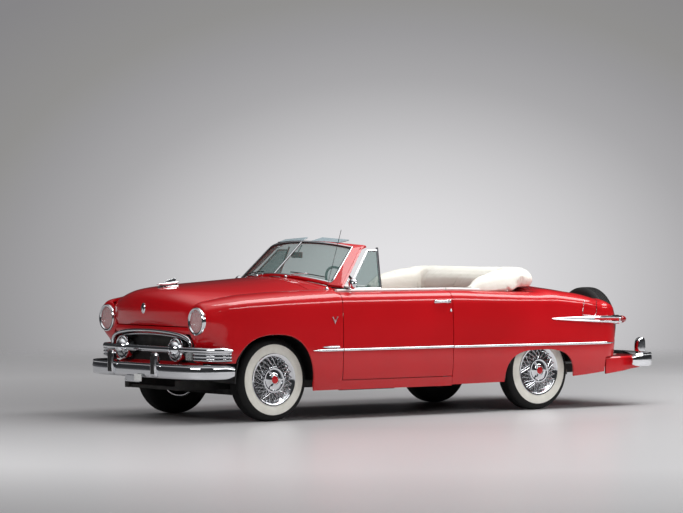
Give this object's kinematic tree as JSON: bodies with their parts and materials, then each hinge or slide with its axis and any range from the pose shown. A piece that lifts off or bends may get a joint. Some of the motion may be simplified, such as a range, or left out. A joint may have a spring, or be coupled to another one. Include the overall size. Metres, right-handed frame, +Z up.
{
  "type": "1950s convertible car",
  "caption": "two-door open family car with folded top, split windshield, opening doors, hood and trunk lid, steered front wheels and an upright rear spare",
  "frame": {"origin": "centre of the footprint on the ground, under the tyres, midway between the bumper guards", "axes": "+Z up, nose towards -Y, the car's left side towards +X"},
  "size_m": [1.876, 5.282, 1.6062],
  "materials": {
    "red_enamel": "gloss",
    "underbody_black": "satin",
    "chrome_plate": "polished",
    "clear_glass": "polished",
    "tyre_rubber": "matte",
    "wheel_chrome": "polished",
    "boot_cloth": "matte",
    "seat_vinyl": "satin",
    "steering_plastic": "gloss",
    "lamp_lens": "gloss",
    "cast_metal": "matte",
    "bare_steel": "satin"
  },
  "bodies": {
    "body": {"frame_rails": "underbody_black", "floor_pan": "underbody_black", "firewall": "red_enamel", "cowl_panel": "red_enamel", "front_fender_left": "red_enamel", "front_fender_right": "red_enamel", "nose_panel": "red_enamel", "wheel_wells": "underbody_black", "rocker_panels": "red_enamel", "quarter_panel_left": "red_enamel", "quarter_panel_right": "red_enamel", "rear_deck": "red_enamel", "tail_panel": "red_enamel", "bumper_extension": "red_enamel", "windshield_frame": "red_enamel", "windshield_glass": "clear_glass", "dashboard": "red_enamel", "steering_column": "steering_plastic", "front_seat": "seat_vinyl", "rear_seat": "seat_vinyl", "boot_cover": "boot_cloth", "grille": "chrome_plate", "front_bumper": "chrome_plate", "rear_bumper": "chrome_plate", "plate_bracket": "bare_steel", "headlamps": "chrome_plate", "tail_lamps": "lamp_lens", "body_trim": "chrome_plate", "antenna": "chrome_plate", "engine_block": "cast_metal", "radiator": "cast_metal", "front_suspension": "underbody_black", "rear_axle": "underbody_black", "leaf_springs": "underbody_black", "driveline": "cast_metal", "exhaust": "bare_steel", "fuel_tank": "underbody_black", "spare_tyre": "tyre_rubber", "spare_wheel": "wheel_chrome"},
    "hood": {"hood": "red_enamel", "hood_ornament": "chrome_plate"},
    "trunk_lid": {"trunk_lid": "red_enamel"},
    "door_left": {"door_left": "red_enamel", "door_trim_left": "chrome_plate", "vent_glass_left": "clear_glass"},
    "door_right": {"door_right": "red_enamel", "door_trim_right": "chrome_plate", "vent_glass_right": "clear_glass"},
    "knuckle_left": {"knuckle_left": "underbody_black"},
    "knuckle_right": {"knuckle_right": "underbody_black"},
    "steering_wheel": {"steering_wheel": "steering_plastic"},
    "wheel_front_left": {"tyre_front_left": "tyre_rubber", "wheel_front_left": "wheel_chrome"},
    "wheel_front_right": {"tyre_front_right": "tyre_rubber", "wheel_front_right": "wheel_chrome"},
    "wheel_rear_left": {"tyre_rear_left": "tyre_rubber", "wheel_rear_left": "wheel_chrome"},
    "wheel_rear_right": {"tyre_rear_right": "tyre_rubber", "wheel_rear_right": "wheel_chrome"}
  },
  "joints": [
    {"name": "steer_left", "type": "hinge", "parent": "body", "child": "knuckle_left", "pos_m": [0.621, -1.729, 0.35], "axis": [0, 0, 1], "range_deg": [-30, 30]},
    {"name": "steer_right", "type": "hinge", "parent": "body", "child": "knuckle_right", "pos_m": [-0.621, -1.729, 0.35], "axis": [0, 0, 1], "range_deg": [-30, 30]},
    {"name": "steering_turn", "type": "hinge", "parent": "body", "child": "steering_wheel", "pos_m": [0.38, -0.699, 1.1], "axis": [0, 0.8829, 0.4695], "range_deg": [-490, 490]},
    {"name": "spin_front_left", "type": "hinge", "parent": "knuckle_left", "child": "wheel_front_left", "pos_m": [0.711, -1.729, 0.35], "axis": [1, 0, 0], "continuous": true},
    {"name": "spin_front_right", "type": "hinge", "parent": "knuckle_right", "child": "wheel_front_right", "pos_m": [-0.711, -1.729, 0.35], "axis": [1, 0, 0], "continuous": true},
    {"name": "spin_rear_left", "type": "hinge", "parent": "body", "child": "wheel_rear_left", "pos_m": [0.711, 1.167, 0.35], "axis": [1, 0, 0], "continuous": true},
    {"name": "spin_rear_right", "type": "hinge", "parent": "body", "child": "wheel_rear_right", "pos_m": [-0.711, 1.167, 0.35], "axis": [1, 0, 0], "continuous": true},
    {"name": "door_left_swing", "type": "hinge", "parent": "body", "child": "door_left", "pos_m": [0.87, -1.169, 0.7], "axis": [0, 0, -1], "range_deg": [0, 65]},
    {"name": "door_right_swing", "type": "hinge", "parent": "body", "child": "door_right", "pos_m": [-0.87, -1.169, 0.7], "axis": [0, 0, 1], "range_deg": [0, 65]},
    {"name": "hood_lift", "type": "hinge", "parent": "body", "child": "hood", "pos_m": [0, -1.249, 1.175], "axis": [-1, 0, 0], "range_deg": [0, 45]},
    {"name": "trunk_lift", "type": "hinge", "parent": "body", "child": "trunk_lid", "pos_m": [0, 1.376, 1.108], "axis": [1, 0, 0], "range_deg": [0, 60]}
  ],
  "couplings": [
    {"joint": "steer_right", "follows": "steer_left", "ratio": 1},
    {"joint": "steering_turn", "follows": "steer_left", "ratio": 16}
  ]
}
